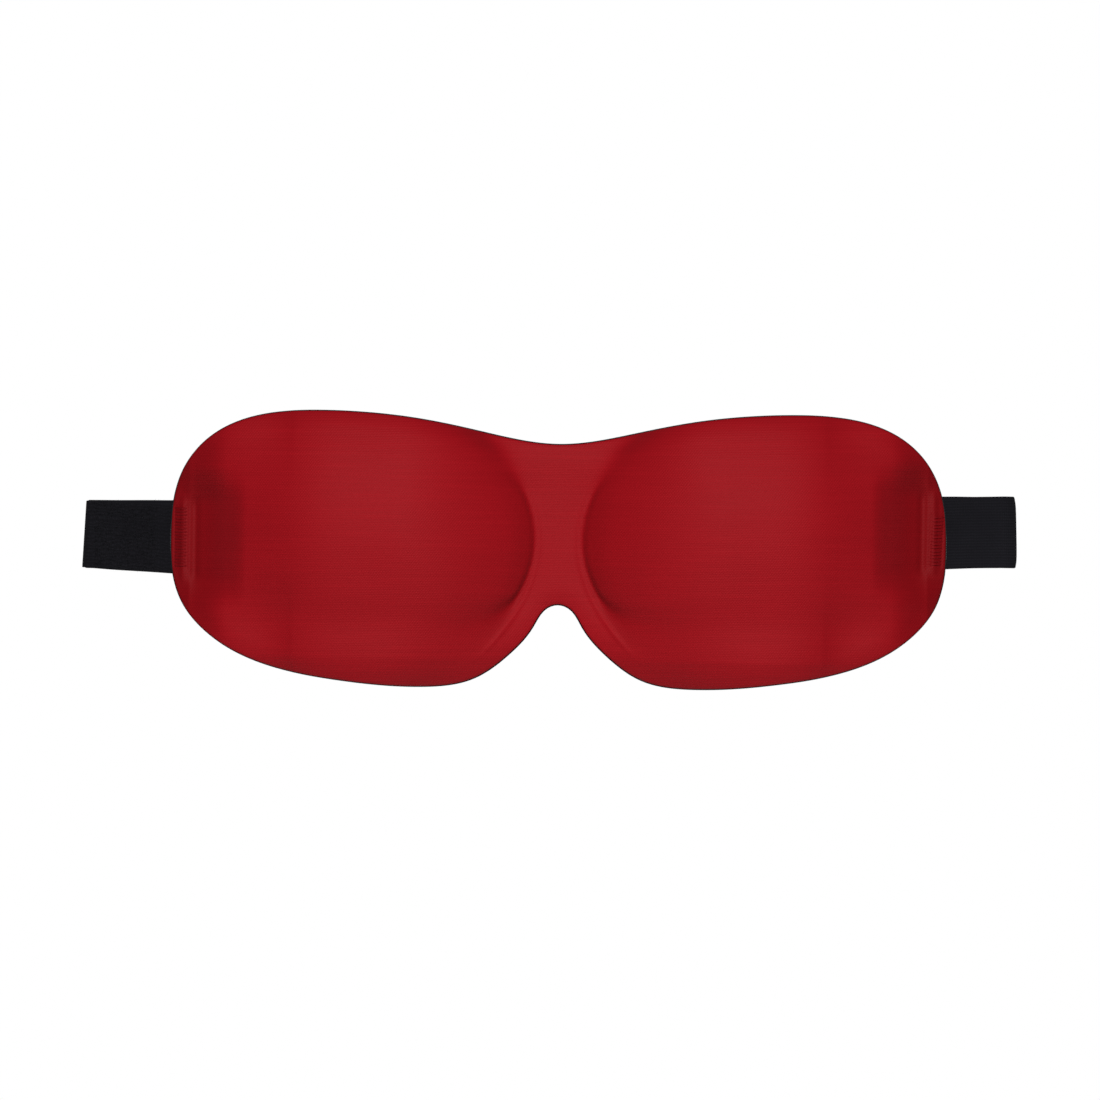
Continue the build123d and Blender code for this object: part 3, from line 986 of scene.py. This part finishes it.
def make_patch_stitches():
    """Lockstitch round the hook patch, seen on the strap's outer face and on the tape."""
    low, high = place("hook_patch")
    tip_low, tip_high = place("strap_right_tip")
    faces_y = ((tip_high[1], 1), (tip_low[1] - HOOK_BACKING, -1))
    near, far = low[0] + STITCH_MARGIN, high[0] - STITCH_MARGIN
    half = HOOK_WIDTH / 2 - STITCH_MARGIN
    corners = [(near, -1), (far, -1), (far, 1), (near, 1)]
    lines = []
    for (x0, s0), (x1, s1) in zip(corners, corners[1:] + corners[:1]):
        start = np.array([x0, run_z(x0) + s0 * half])
        end = np.array([x1, run_z(x1) + s1 * half])
        length = np.linalg.norm(end - start)
        count = max(1, int(round(length / (STITCH_LENGTH + STITCH_GAP))))
        for k in range(count):
            a = start + (end - start) * (k + 0.08) / count
            b = start + (end - start) * (k + 0.92) / count
            for level, sign in faces_y:
                line = []
                for m in range(8):
                    t = m / 7
                    p = a + (b - a) * t
                    y = level + sign * (-0.12 + 0.22 * math.sin(math.pi * t) ** 0.6)
                    line.append((p[0], y, p[1]))
                lines.append(line)
    stitches = tubes("patch_stitches", lines, STITCH_THREAD)
    dress(stitches, "black_thread")
    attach(stitches, "right_end")
    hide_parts("hook_patch_stitching")


def fibre_lines(path, count, rng):
    """Curled loose fibres that stand out of the left strap's brushed face."""
    level = LEFT_WEB / 2 + FIBRE_ROOT
    lines = []
    for _ in range(count):
        x, y, z, tx, ty, s = path[rng.integers(1, len(path) - 1)]
        x += tx * rng.uniform(-0.4, 0.4)
        up = rng.uniform(-0.49, 0.49) * (STRAP_WIDTH[-1] - LEFT_PILE)
        nx, ny = -ty, tx
        base = np.array([x + nx * level, y + ny * level, z + up])
        size = rng.uniform(0.5, 1.3)
        turn = rng.uniform(0, 2 * math.pi)
        lay = np.array([tx * math.cos(turn), ty * math.cos(turn), math.sin(turn)])
        rise = np.array([nx, ny, 0.0])
        points = []
        for k in range(5):
            t = k / 4
            lift = 0.42 * math.sin(math.pi * min(1.0, t * 1.15))
            points.append(base + lay * size * t + rise * lift)
        lines.append(points)
    return lines


def in_front(row):
    """Whether a row of the left strap's path is on its tab, clear of the sewn end and the fold."""
    clear_of_mask = -row[0] > HALF_WIDTH + 3.5
    return clear_of_mask and row[3] < 0 and row[1] < LEFT_FOLD[1] - 1.2 and row[4] < 0.1


def behind(row):
    """Whether a row of the left strap's path is on its run, clear of the fold."""
    return row[3] > 0.99 and row[0] > LEFT_FOLD[0] + 1.5


def make_fibres(left_path):
    """Brushed loops on the left strap: one piece for the tab, one for the run behind."""
    rng = np.random.default_rng(5)
    for name, test, count, body, node in (
        ("tab_fibres", in_front, TAB_FIBRES, "left_tab", "loop_pile_stub"),
        ("run_fibres", behind, RUN_FIBRES, "left_strap", "loop_pile_run"),
    ):
        lines = fibre_lines(cut_path(left_path, test), count, rng)
        fibres = dress(tubes(name, lines, FIBRE_WIRE, 3, True), "pile")
        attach(fibres, body)
        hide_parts(node)


# ---------------------------------------------------------------- camera, floor and light
def make_camera():
    data = bpy.data.cameras.new("camera")
    data.lens = LENS
    data.sensor_width = SENSOR
    distance = VIEW_WIDTH * LENS / data.sensor_width
    camera = bpy.data.objects.new("camera", data)
    bpy.context.scene.collection.objects.link(camera)
    spin = Matrix.Rotation(math.pi / 2, 4, "X") @ Matrix.Rotation(ROLL, 4, "Z")
    at = Vector((VIEW_CENTRE[0] * MM, -distance * MM, VIEW_CENTRE[1] * MM))
    camera.matrix_world = Matrix.Translation(at) @ spin
    data.clip_start, data.clip_end = 0.05, 20
    bpy.context.scene.camera = camera


def make_floor():
    """Plain pale disc under the object."""
    count = 96
    radius = FLOOR_RADIUS * MM
    angles = [2 * math.pi * k / count for k in range(count)]
    verts = [(0, 0, 0)] + [(radius * math.cos(a), radius * math.sin(a), 0) for a in angles]
    faces = [(0, 1 + k, 1 + (k + 1) % count) for k in range(count)]
    floor = new_object("floor", verts, faces)
    floor.location = (0, 0, -FLOOR_DROP * MM)
    mat, _, _, shader = material("floor_paint")
    shader.inputs["Base Color"].default_value = (0.94, 0.94, 0.94, 1)
    shader.inputs["Roughness"].default_value = 0.9
    floor.data.materials.append(mat)


def area_light(name, at, size, power):
    """Rectangular lamp that faces the object."""
    data = bpy.data.lights.new(name, "AREA")
    data.shape = "RECTANGLE"
    data.size, data.size_y = size
    data.energy = power
    light = bpy.data.objects.new(name, data)
    bpy.context.scene.collection.objects.link(light)
    light.location = at
    light.rotation_euler = (Vector((0, 0, 0)) - Vector(at)).to_track_quat("-Z", "Y").to_euler()


def backdrop(nodes, strength):
    node = nodes.new("ShaderNodeBackground")
    node.inputs[0].default_value = (1, 1, 1, 1)
    node.inputs[1].default_value = strength
    return node.outputs[0]


def make_world():
    """White backdrop for the camera, a softer even light on the object."""
    world = bpy.data.worlds.new("studio")
    bpy.context.scene.world = world
    world.use_nodes = True
    nodes, links = world.node_tree.nodes, world.node_tree.links
    nodes.clear()
    out = nodes.new("ShaderNodeOutputWorld")
    mix = nodes.new("ShaderNodeMixShader")
    path = nodes.new("ShaderNodeLightPath")
    links.new(path.outputs["Is Camera Ray"], mix.inputs[0])
    links.new(backdrop(nodes, AMBIENT), mix.inputs[1])
    links.new(backdrop(nodes, 1.0), mix.inputs[2])
    links.new(mix.outputs[0], out.inputs[0])


def make_light():
    """High frontal key, a faint fill from below, and a long light behind."""
    make_world()
    area_light("key", (0.0, -1.70, 0.70), (0.45, 0.7), 32.5)
    area_light("bounce", (0.0, -1.1, -0.70), (1.2, 0.4), 1.1)
    area_light("rim", (0.0, 1.75, 0.12), (1.6, 0.5), 14)
    bpy.context.scene.view_settings.view_transform = "Standard"


make_camera()
make_floor()
make_light()
make_mask()
left_path = attach_straps()
make_bartack(-1)
make_bartack(1)
make_hook_patch()
make_patch_stitches()
make_fibres(left_path)
